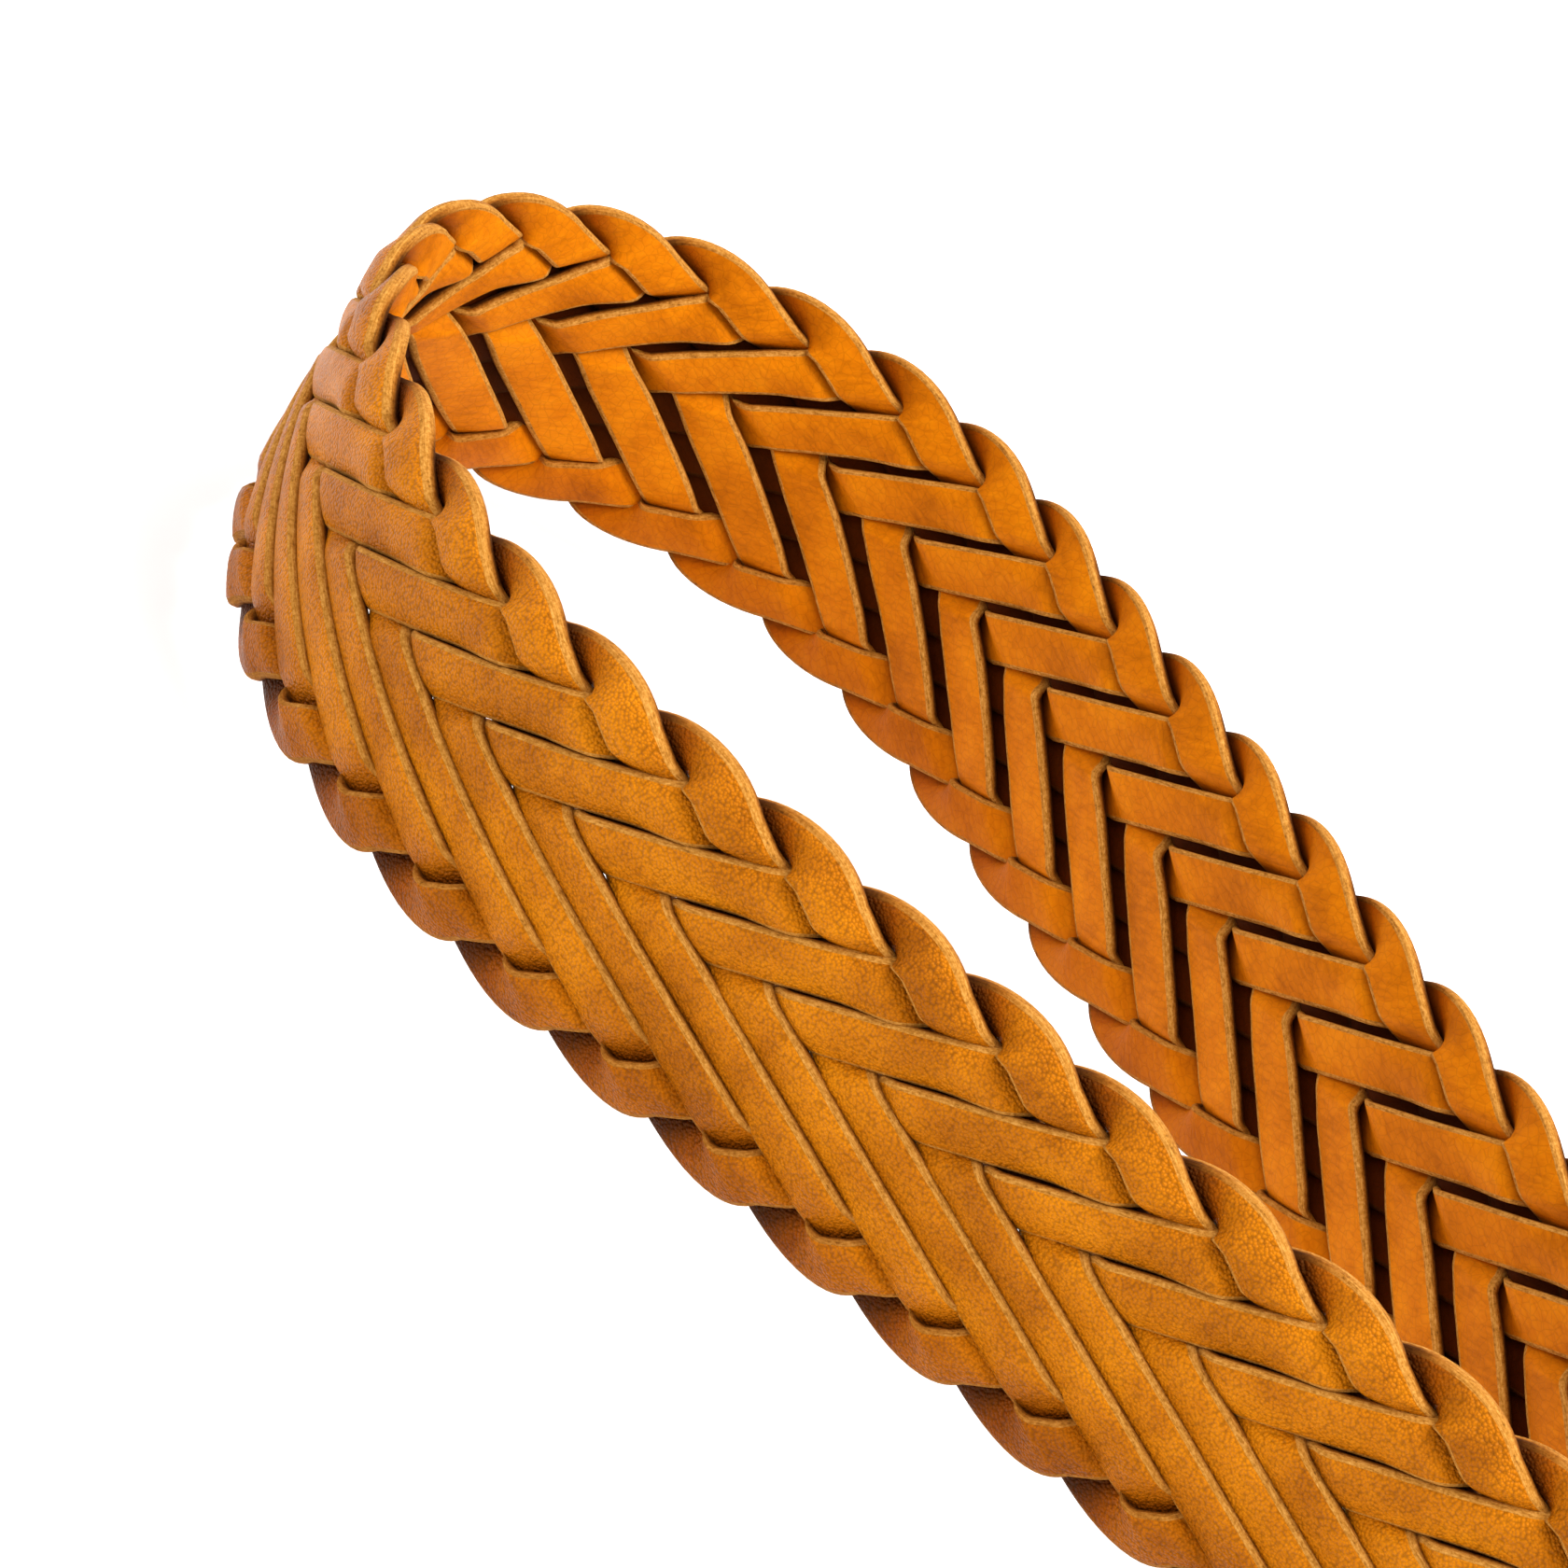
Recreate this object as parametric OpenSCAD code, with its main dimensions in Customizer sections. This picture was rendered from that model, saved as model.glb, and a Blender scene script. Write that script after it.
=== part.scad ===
// Leather belt with a flat braided strap, standing on its edge and bent back on itself.
// The strap is ten leather strands. A folded tab carries the buckle at one end,
// a pointed tab finishes the other end, and a loose keeper rides on the buckle tab.
//
// Frame: +Z is across the strap's width, +X runs from the loop towards both free ends,
// and the strap's outer face looks to -Y on the buckle arm and to +Y on the pointed arm.

/* [Braid] */
// Distance along the strap from one edge scallop to the next
scallop_pitch = 12.5; // [12:0.1:13.5]
// Height between two neighbouring crossings of the strands
crossing_rise = 3.26; // [3.1:0.01:3.4]
// Width of one leather strand
strand_width = 4; // [3:0.1:4.2]
// Thickness of one leather strand
strand_thickness = 1.3; // [0.8:0.1:1.3]
// Distance of each layer's middle from the middle of the braid
layer_offset = 0.8; // [0.8:0.05:1]
// Braid length from the loop's middle to the buckle tab's end of the braid
buckle_arm_length = 400; // [340:5:480]
// Braid length from the loop's middle to the pointed tab's end of the braid
point_arm_length = 440; // [340:5:500]

/* [Loop] */
// Turn of the tight part of the loop, in degrees
tight_turn = 123.7; // [110:0.1:135]
// Strap length over which the tight turn is made
tight_length = 122.9; // [100:0.1:150]
// Strap length over which the rest of the loop's turn is made
easy_length = 135.1; // [110:0.1:160]
// Angle by which the buckle arm leans in towards the other arm beside the loop
buckle_arm_lean = 15; // [8:0.5:18]
// Angle by which the pointed arm leans in towards the other arm beside the loop
point_arm_lean = 11.4; // [8:0.1:14]

/* [Tabs] */
// Width of the folded buckle tab
tab_width = 33.8; // [30:0.1:34]
// Leather thickness of the buckle tab
tab_leather = 2; // [1.5:0.1:2.5]
// Length over which a tab laps the braid's end
tab_lap = 20; // [14:1:26]
// Distance from the braid's end to the buckle bar
bar_reach = 18; // [14:1:24]
// Length of the pointed tab beyond the braid's end
point_length = 92; // [70:1:110]
// Leather thickness of each half of the pointed tab
point_leather = 1.5; // [1.2:0.1:2]
// Width of the pointed tab
point_width = 33; // [28:1:34]

/* [Buckle] */
// Distance from the buckle bar to the middle of the frame's far rail
frame_length = 30; // [26:1:36]
// Radius of the round rail that the frame is bent from
rail_radius = 2.6; // [2.2:0.1:3]
// Radius of the buckle bar
bar_radius = 1.55; // [1.4:0.05:1.7]
// Radial clearance of the tab and the prong on the bar
bar_clearance = 0.05; // [0.03:0.01:0.08]
// Gap between the tab's edge and the frame's ear
ear_gap = 1; // [0.6:0.1:1.5]
// Radius of the frame's corners at the middle of the rail
corner_radius = 8; // [6:0.5:10]
// Width of the prong
prong_width = 4.6; // [4:0.1:5]

/* [Keeper] */
// Length of the keeper along the strap
keeper_length = 11; // [8:1:14]
// Leather thickness of the keeper
keeper_leather = 1.8; // [1.5:0.1:2.2]
// Free depth between the buckle tab and the keeper's outer wall
keeper_slack = 6.8; // [6:0.1:9]

/* [Hidden] */
$fn = 48;

// The braid: ten strands, so nine crossings between the edges, counted from the lower edge.
strand_count = 10;
cycle_steps = 2 * strand_count;
cycle_length = strand_count * scallop_pitch;
strand_phase = scallop_pitch / 2;
// Crossing where the herringbone's two directions meet in a ridge.
ridge = 5.5;
// Share of the pitch by which outer runs are drawn out and inner runs are shortened.
upper_shear = 0.05;
lower_shear = 0.16;
// Steps before the turn at an edge where a strand starts to round over.
turn_round = 0.7;
// Steps along the cycle where a strand changes between the outer and the inner layer.
layer_changes = [1.5, 5.5, 8.5, 10, 11.5, 14.5, 18.5, 20];
layer_change_reach = [0.06, 0.06, 0.06, 0.55, 0.06, 0.06, 0.06, 0.55];
// Rings of a strand along half of its cycle, in steps.
half_cycle_rings = [
    0.35, 0.7, 1.44, 1.56, 2.5, 3.5, 4.5, 5.44, 5.56, 6.5, 7.5, 8.44, 8.56, 9.3, 9.65, 10
];
last_ring = len(half_cycle_rings) - 1;
cycle_rings = concat(
    half_cycle_rings,
    [for (i = [last_ring - 1 : -1 : 0]) cycle_steps - half_cycle_rings[i]],
    [cycle_steps]
);

// The strap's middle line in plan, as bends: [middle of the bend, its length, its turn].
easy_turn = 180 + buckle_arm_lean + point_arm_lean - tight_turn;
bends = [
    [-230, 50, -point_arm_lean],
    [-42.7, tight_length, tight_turn],
    [43.2, easy_length, easy_turn],
    [240, 50, -buckle_arm_lean]
];
path_step = 2;
path_half = 510;
path_count = 2 * path_half / path_step;

// Sizes that follow from the driving ones.
braid_thickness = 2 * layer_offset + strand_thickness;
tab_bore = bar_radius + bar_clearance;
tab_half = tab_bore + tab_leather;
ear_inner = tab_width / 2 + ear_gap;
rail_z = ear_inner + rail_radius;
frame_half = rail_z + rail_radius;
strap_height = frame_half;
ear_radius = 3.6;
slot_half = prong_width / 2 + 0.9;
slot_front = 16;
slot_back = 5;
point_radius = 20;
point_taper_start = 2;
point_taper_end = 14;
half_gap = 0.05;
edge_to_stitch = 2.6;
first_stitch = 3.2;
prong_ring = tab_bore + 1.6;
prong_thickness = 2.1;
prong_lift = rail_radius + 0.35;
keeper_inner_half = 18.4;
keeper_back = tab_half + 1;
keeper_front = tab_half + keeper_slack;
keeper_rest = -7;
stitch_radius = 0.4;
stitch_length = 2.8;
stitch_step = 4.2;

// ---- Strap geometry -------------------------------------------------------------------

function smooth(t) = let (u = min(max(t, 0), 1)) u * u * (3 - 2 * u);

function heading(s) = 180 + bend_turn(s, 0);

function bend_turn(s, i) =
    i == len(bends) ? 0
    : bends[i][2] * smooth((s - bends[i][0]) / bends[i][1] + 0.5) + bend_turn(s, i + 1);

// Points of the middle line every path_step, with the loop's middle at [0, 0].
path_from_end = [
    for (
        i = 0, x = 0, y = 0;
        i <= path_count;
        a = heading((i + 0.5) * path_step - path_half),
        x = x + path_step * cos(a),
        y = y + path_step * sin(a),
        i = i + 1
    ) [x, y]
];
path_points = [for (q = path_from_end) q - path_from_end[path_count / 2]];

function path_at(s) =
    let (k = (s + path_half) / path_step, i = floor(k), f = k - i)
    path_points[i] * (1 - f) + path_points[i + 1] * f;

buckle_end = path_at(buckle_arm_length);
point_end = path_at(-point_arm_length);

// The origin is under the middle of the whole belt.
x_low = min([for (q = path_points) q[0]]) - braid_thickness / 2;
x_high = max(
    point_end[0] + point_length,
    buckle_end[0] + bar_reach + frame_length + prong_ring + 1
);
y_low = min(
    min([for (q = path_points) q[1]]) - braid_thickness / 2,
    buckle_end[1] - keeper_front - keeper_leather
);
y_high = max([for (q = path_points) q[1]]) + braid_thickness / 2;
shift = [-(x_low + x_high) / 2, -(y_low + y_high) / 2];

// Point at distance s along the strap, v above its middle and n out from its middle.
function strap_point(s, v, n) =
    let (c = path_at(s) + shift, a = heading(s))
    [c[0] + n * sin(a), c[1] - n * cos(a), v + strap_height];

// ---- Strand geometry ------------------------------------------------------------------

// Steps from the nearest edge turn, rounded over at the turn.
function turn_distance(u) =
    let (e = min(u, cycle_steps - u, abs(u - strand_count)))
    e > turn_round ? e : (turn_round * turn_round + e * e) / (2 * turn_round);

// Crossing number that the strand has reached, from 0 at the lower edge to 10 at the upper.
function crossing(u) =
    let (rise = min(u, cycle_steps - u))
    rise < strand_count / 2 ? turn_distance(u) : strand_count - turn_distance(u);

function shear(g) = g > ridge ? upper_shear : -lower_shear;

function strand_s(t, u) =
    let (g = crossing(u))
    scallop_pitch * (t / 2 + abs(shear(g)) * abs(g - ridge)) + strand_phase;

function strand_v(u) = crossing_rise * (crossing(u) - strand_count / 2);

// Layer of the strand: +1 on the outer face, -1 on the inner face.
function layer_step(u, i) =
    smooth((u - layer_changes[i]) / (2 * layer_change_reach[i]) + 0.5);

function layer(u) =
    let (w = u < 0.6 ? u + cycle_steps : u)
    1 - 2 * (
        layer_step(w, 0) - layer_step(w, 1) + layer_step(w, 2) - layer_step(w, 3)
        + layer_step(w, 4) - layer_step(w, 5) + layer_step(w, 6) - layer_step(w, 7)
    );

// Sideways vector [s, v] of a ring, parallel to the strands that cross this one.
function ring_side(u) =
    let (
        g = crossing(u),
        e = min(u, cycle_steps - u, abs(u - strand_count)),
        way = u > strand_count ? 1 : -1,
        slope = u < strand_count ? 1 : -1,
        swing = min(e / turn_round, 1),
        side = [scallop_pitch * (way * swing / 2 + shear(g)), crossing_rise],
        run = [scallop_pitch * (0.5 + slope * swing * shear(g)), crossing_rise * slope * swing],
        area = abs(side[0] * run[1] - side[1] * run[0])
    ) side * (strand_width / 2) * norm(run) / area;

// The four corners of a ring.
function strand_ring(t, start) =
    let (
        u = t - cycle_steps * floor(t / cycle_steps),
        s = strand_s(t, u) + start,
        v = strand_v(u),
        n = layer(u) * layer_offset,
        side = ring_side(u),
        h = strand_thickness / 2
    ) [
        strap_point(s - side[0], v - side[1], n - h),
        strap_point(s - side[0], v - side[1], n + h),
        strap_point(s + side[0], v + side[1], n + h),
        strap_point(s + side[0], v + side[1], n - h)
    ];

// ---- Sub-parts ------------------------------------------------------------------------

module strand(number) {
    start = (number - 1) * scallop_pitch;
    first = floor((-point_arm_length - start) / cycle_length) - 1;
    last = ceil((buckle_arm_length - start) / cycle_length);
    steps = [for (c = [first : last]) for (r = cycle_rings) c * cycle_steps + r];
    inside = [
        for (t = steps)
            let (
                u = t - cycle_steps * floor(t / cycle_steps),
                s = strand_s(t, u) + start
            )
            if (s > 4 - point_arm_length && s < buckle_arm_length - 4) t
    ];
    rings = [for (t = inside) strand_ring(t, start)];
    count = len(rings);
    points = [for (r = rings) for (p = r) p];
    sides = [
        for (i = [0 : count - 2]) for (j = [0 : 3])
            let (a = 4 * i + j, b = 4 * i + (j + 1) % 4)
            each [[a, b, b + 4], [a, b + 4, a + 4]]
    ];
    end = 4 * (count - 1);
    caps = [[0, 2, 1], [0, 3, 2], [end, end + 1, end + 2], [end, end + 2, end + 3]];
    color("chocolate") polyhedron(points, concat(sides, caps), convexity = 10);
}

// Frame at the braid's buckle end: x on towards the buckle, y out of the inner face.
module at_buckle_end() {
    translate([buckle_end[0] + shift[0], buckle_end[1] + shift[1], strap_height]) children();
}

// Frame at the braid's pointed end: x on towards the point, y out of the outer face.
module at_point_end() {
    translate([point_end[0] + shift[0], point_end[1] + shift[1], strap_height]) children();
}

// A stitch that lies on a tab's face, along x.
module stitch() {
    rotate([0, 90, 0]) cylinder(r = stitch_radius, h = stitch_length, center = true, $fn = 16);
}

module buckle_tab() {
    color("peru") at_buckle_end() difference() {
        linear_extrude(height = tab_width, center = true) difference() {
            union() {
                translate([-tab_lap, -tab_half]) square([tab_lap + bar_reach, 2 * tab_half]);
                translate([bar_reach, 0]) circle(r = tab_half);
            }
            translate([-tab_lap - 1, -tab_bore]) square([tab_lap + bar_reach + 1, 2 * tab_bore]);
            translate([bar_reach, 0]) circle(r = tab_bore);
        }
        translate([bar_reach - slot_front, -tab_half - 1, -slot_half])
            cube([slot_front + tab_half + 1, tab_half + 1, 2 * slot_half]);
        translate([bar_reach - slot_back, -1, -slot_half])
            cube([slot_back + tab_half + 1, tab_half + 2, 2 * slot_half]);
    }
}

module buckle_tab_stitching() {
    row_z = tab_width / 2 - edge_to_stitch;
    count = floor((tab_lap + bar_reach - 8) / stitch_step);
    color("saddlebrown") at_buckle_end()
        for (face = [-1, 1]) for (edge = [-1, 1]) for (i = [0 : count - 1])
            translate([
                -tab_lap + first_stitch + i * stitch_step,
                face * (tab_half + stitch_radius),
                edge * row_z
            ]) stitch();
}

// Outline of the pointed tab in its own plane.
module point_outline() {
    shoulder = point_length - point_radius;
    translate([-tab_lap, -point_width / 2]) square([tab_lap + shoulder, point_width]);
    intersection() {
        translate([shoulder, 0]) circle(r = point_radius, $fn = 96);
        translate([shoulder - 1, -point_width / 2]) square([point_radius + 1, point_width]);
    }
}

// One half of the pointed tab: it laps the braid, then closes on the other half.
module point_half(face) {
    open_low = tab_bore;
    at_point_end() intersection() {
        rotate([90, 0, 0]) linear_extrude(height = 20, center = true) point_outline();
        linear_extrude(height = point_width, center = true) scale([1, face]) polygon([
            [-tab_lap, open_low],
            [point_taper_start, open_low],
            [point_taper_end, half_gap],
            [point_length, half_gap],
            [point_length, half_gap + point_leather],
            [point_taper_end, half_gap + point_leather],
            [point_taper_start, open_low + point_leather],
            [-tab_lap, open_low + point_leather]
        ]);
    }
}

module point_tab_front() {
    color("peru") point_half(1);
}

module point_tab_back() {
    color("sienna") point_half(-1);
}

module point_tab_stitching() {
    row_z = point_width / 2 - edge_to_stitch;
    lap_count = floor((tab_lap - 2) / stitch_step);
    flat_count = floor((point_length - 38) / stitch_step);
    lap_y = tab_bore + point_leather + stitch_radius;
    flat_y = half_gap + point_leather + stitch_radius;
    color("saddlebrown") at_point_end() for (face = [-1, 1]) for (edge = [-1, 1]) {
        for (i = [0 : lap_count - 1])
            translate([-tab_lap + first_stitch + i * stitch_step, face * lap_y, edge * row_z]) stitch();
        for (i = [0 : flat_count - 1])
            translate([
                point_taper_end + first_stitch + i * stitch_step,
                face * flat_y,
                edge * row_z
            ]) stitch();
    }
}

// Quarter bend of the frame's rail, with its middle at the origin.
module rail_corner() {
    rotate_extrude(angle = 90) translate([corner_radius, 0]) circle(r = rail_radius);
}

module buckle_frame() {
    straight = frame_length - corner_radius;
    color("goldenrod") at_buckle_end() translate([bar_reach, 0, 0]) difference() {
        union() {
            for (side = [-1, 1]) {
                translate([0, 0, side * rail_z]) {
                    rotate([0, 90, 0]) cylinder(r = rail_radius, h = straight);
                    cylinder(r = ear_radius, h = 2 * rail_radius, center = true);
                }
            }
            translate([frame_length, 0, 0])
                cylinder(r = rail_radius, h = 2 * (rail_z - corner_radius), center = true);
            translate([straight, 0, rail_z - corner_radius])
                rotate([90, 0, 0]) rail_corner();
            translate([straight, 0, corner_radius - rail_z])
                rotate([90, 0, 0]) rotate([0, 0, -90]) rail_corner();
        }
        cylinder(r = bar_radius, h = 3 * frame_half, center = true);
    }
}

module buckle_bar() {
    color("gold") at_buckle_end() translate([bar_reach, 0, 0])
        cylinder(r = bar_radius, h = 2 * frame_half, center = true);
}

module prong() {
    tip_x = frame_length + rail_radius + 1.4;
    color("gold") at_buckle_end() translate([bar_reach, 0, 0]) difference() {
        union() {
            cylinder(r = prong_ring, h = prong_width, center = true);
            linear_extrude(height = prong_width, center = true) polygon([
                [0, -prong_ring],
                [frame_length - 6, -prong_lift - prong_thickness],
                [frame_length, -prong_lift - prong_thickness],
                [tip_x, -prong_lift - prong_thickness + 0.9],
                [tip_x, -prong_lift + 0.5],
                [frame_length, -prong_lift],
                [frame_length - 6, -prong_lift],
                [prong_ring, -prong_ring + prong_thickness],
                [prong_ring - 0.4, 0],
                [0, 0]
            ]);
        }
        cylinder(r = tab_bore, h = 2 * prong_width, center = true);
    }
}

module keeper() {
    depth = keeper_front + keeper_back;
    middle = (keeper_back - keeper_front) / 2;
    wall = keeper_leather;
    color("peru") at_buckle_end() translate([keeper_rest, middle, 0])
        rotate([90, 0, 90]) linear_extrude(height = keeper_length, center = true) difference() {
            square([depth + 2 * wall, 2 * (keeper_inner_half + wall)], center = true);
            square([depth, 2 * keeper_inner_half], center = true);
        }
}

strand(1);  // strand_01
strand(2);  // strand_02
strand(3);  // strand_03
strand(4);  // strand_04
strand(5);  // strand_05
strand(6);  // strand_06
strand(7);  // strand_07
strand(8);  // strand_08
strand(9);  // strand_09
strand(10);  // strand_10
buckle_tab();
buckle_tab_stitching();
point_tab_front();
point_tab_back();
point_tab_stitching();
buckle_frame();
buckle_bar();
prong();
keeper();
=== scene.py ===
import math
import random

import bmesh
import bpy
import numpy as np
from mathutils import Matrix, Vector


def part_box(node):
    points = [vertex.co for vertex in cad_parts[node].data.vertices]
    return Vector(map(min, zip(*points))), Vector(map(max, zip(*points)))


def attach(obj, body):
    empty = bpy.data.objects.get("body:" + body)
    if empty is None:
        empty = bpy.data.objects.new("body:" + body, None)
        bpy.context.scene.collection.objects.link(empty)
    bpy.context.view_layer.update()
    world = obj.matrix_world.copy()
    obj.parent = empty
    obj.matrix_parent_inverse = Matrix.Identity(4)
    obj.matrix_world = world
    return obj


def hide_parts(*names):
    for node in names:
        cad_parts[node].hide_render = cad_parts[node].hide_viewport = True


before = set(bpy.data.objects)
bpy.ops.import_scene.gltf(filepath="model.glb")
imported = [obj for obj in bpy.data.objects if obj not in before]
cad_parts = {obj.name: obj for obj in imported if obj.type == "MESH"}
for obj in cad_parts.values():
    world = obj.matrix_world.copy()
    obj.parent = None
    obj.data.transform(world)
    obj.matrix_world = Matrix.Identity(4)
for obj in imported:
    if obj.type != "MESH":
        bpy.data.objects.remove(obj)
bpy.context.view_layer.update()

MM = 0.001

# ---- Braid sizes in millimetres, as the CAD model has them ------------------------------

PITCH = 12.5
RISE = 3.26
STRANDS = 10
CYCLE = 2 * STRANDS
PHASE = PITCH / 2
RIDGE = 5.5
UPPER_SHEAR = 0.05
LOWER_SHEAR = 0.16
TURN_ROUND = 0.7
BUCKLE_ARM = 400
POINT_ARM = 440
BAR_REACH = 18
TAB_LAP = 20
# Every strand stops this far short of the braid's ends.
END_MARGIN = 4
LAYER_CHANGES = [1.5, 5.5, 8.5, 10, 11.5, 14.5, 18.5, 20]

# Bends of the strap's middle line in plan: middle of the bend, its length, its turn.
BENDS = [(-230, 50, -11.4), (-42.7, 122.9, 123.7), (43.2, 135.1, 82.7), (240, 50, -15)]
PATH_STEP = 2.0
PATH_HALF = 510

# The real strands are wider and thicker than their CAD solids, and press on each other.
STRAND_HALF = 2.68
STRAND_THICK = 1.7
LAYER_OFFSET = 1.05
STRAND_TILT = 0.6
# How far a strand's turn at an edge is drawn in towards the middle of the strap.
EDGE_INSET = 0.2
# Beside the upper edge the strands lean the other way, over the strands that dive there.
EDGE_TILT = -0.38
EDGE_LIFT = 0.22
# Inner runs of the lower half lie flatter and so wider than the rest.
INNER_SPREAD = 0.12
# Doming of the grain face and of the flesh face, then the rounding of their corners.
CROWN = 0.6
FLESH_CROWN = 0.2
ROUND_TOP, ROUND_LOW = 0.42, 0.36
# Steps either side of the middle of a change of layer: inside the braid, and at a turn.
LAYER_REACH, TURN_REACH = 0.3, 0.6
# Where a tab grips the braid, its layers lose this share of their depth, over this reach.
TAB_SQUEEZE = 0.5
SQUEEZE_REACH = 12
RING_STEP = 0.1

bar_low, bar_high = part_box("buckle_bar")
BAR = (bar_low + bar_high) / 2 / MM
MIDDLE_Z = BAR.z


def smooth(t):
    u = np.clip(t, 0, 1)
    return u * u * (3 - 2 * u)


def heading(s):
    """Direction of the strap's middle line at distance s, in radians."""
    turn = sum(bend * smooth((s - middle) / length + 0.5) for middle, length, bend in BENDS)
    return np.radians(180 + turn)


def middle_line():
    """Points of the strap's middle line every PATH_STEP, in the frame."""
    count = int(2 * PATH_HALF / PATH_STEP)
    angles = heading((np.arange(count) + 0.5) * PATH_STEP - PATH_HALF)
    steps = PATH_STEP * np.stack([np.cos(angles), np.sin(angles)], 1)
    line = np.vstack([[0, 0], np.cumsum(steps, 0)])
    at_end = line[int((BUCKLE_ARM + PATH_HALF) / PATH_STEP)]
    return line - at_end + np.array([BAR.x - BAR_REACH, BAR.y])


LINE = middle_line()
LINE_S = np.arange(len(LINE)) * PATH_STEP - PATH_HALF


def path_at(s):
    return np.stack([np.interp(s, LINE_S, LINE[:, 0]), np.interp(s, LINE_S, LINE[:, 1])], -1)


def strap_points(s, v, n):
    """Points at distance s along the strap, v above its middle and n out of its outer face."""
    middle, a = path_at(s), heading(s)
    return np.stack(
        [middle[..., 0] + n * np.sin(a), middle[..., 1] - n * np.cos(a), v + MIDDLE_Z], -1
    ) * MM


# ---- Mesh helpers -----------------------------------------------------------------------

def new_object(name, mesh, body, replaced=()):
    piece = bpy.data.objects.new(name, mesh)
    bpy.context.scene.collection.objects.link(piece)
    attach(piece, body)
    if replaced:
        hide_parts(*replaced)
    return piece


def sweep_mesh(name, rings, face_kinds, materials, lengths, girth, closed=False):
    """Mesh through rings of points, an array [ring, point, xyz], with flat fans as caps.

    face_kinds gives each section side's material, and lengths and girth, in millimetres
    along and around, give the UV map.
    """
    count, around = rings.shape[:2]
    points = rings.reshape(-1, 3)
    last = count if closed else count - 1
    ring = np.repeat(np.arange(last), around)
    side = np.tile(np.arange(around), last)
    after = (side + 1) % around
    onward = (ring + 1) % count
    faces = np.stack(
        [ring * around + side, ring * around + after, onward * around + after,
         onward * around + side], 1
    )
    kinds = np.tile(np.asarray(face_kinds), last)
    around_uv = np.append(girth, girth[-1] + (girth[-1] - girth[-2]))
    u = np.stack([lengths[ring], lengths[ring], lengths[np.minimum(ring + 1, len(lengths) - 1)],
                  lengths[np.minimum(ring + 1, len(lengths) - 1)]], 1)
    v = np.stack([around_uv[side], around_uv[side + 1], around_uv[side + 1], around_uv[side]], 1)
    mesh = bpy.data.meshes.new(name)
    face_list = faces.tolist()
    if not closed:
        face_list += [list(range(around))[::-1], [(count - 1) * around + i for i in range(around)]]
    mesh.from_pydata(points.tolist(), [], face_list)
    for material in materials:
        mesh.materials.append(material)
    all_kinds = np.append(kinds, [] if closed else [1, 1]).astype(int)
    mesh.polygons.foreach_set("material_index", all_kinds)
    mesh.polygons.foreach_set("use_smooth", np.ones(len(face_list), bool))
    layer = mesh.uv_layers.new(name="along")
    uv = np.zeros((len(mesh.loops), 2))
    uv[: 4 * len(faces)] = np.stack([u.ravel(), v.ravel()], 1)
    layer.data.foreach_set("uv", uv.ravel())
    mesh.update()
    return mesh


# ---- Materials --------------------------------------------------------------------------

def grey(value):
    return (value, value, value)


# Colour of the leather's gloss.
GLOSS_TINT = (1.0, 0.52, 0.14, 1)
# Painted shade: tint of a strand by how far it is uncovered, from 0 where it is covered to 1 where
# it lies on top.
COVERED_SHADE = [(0.0, (0.10, 0.05, 0.03)), (0.5, (0.60, 0.44, 0.25)), (1.0, grey(1))]


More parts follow.
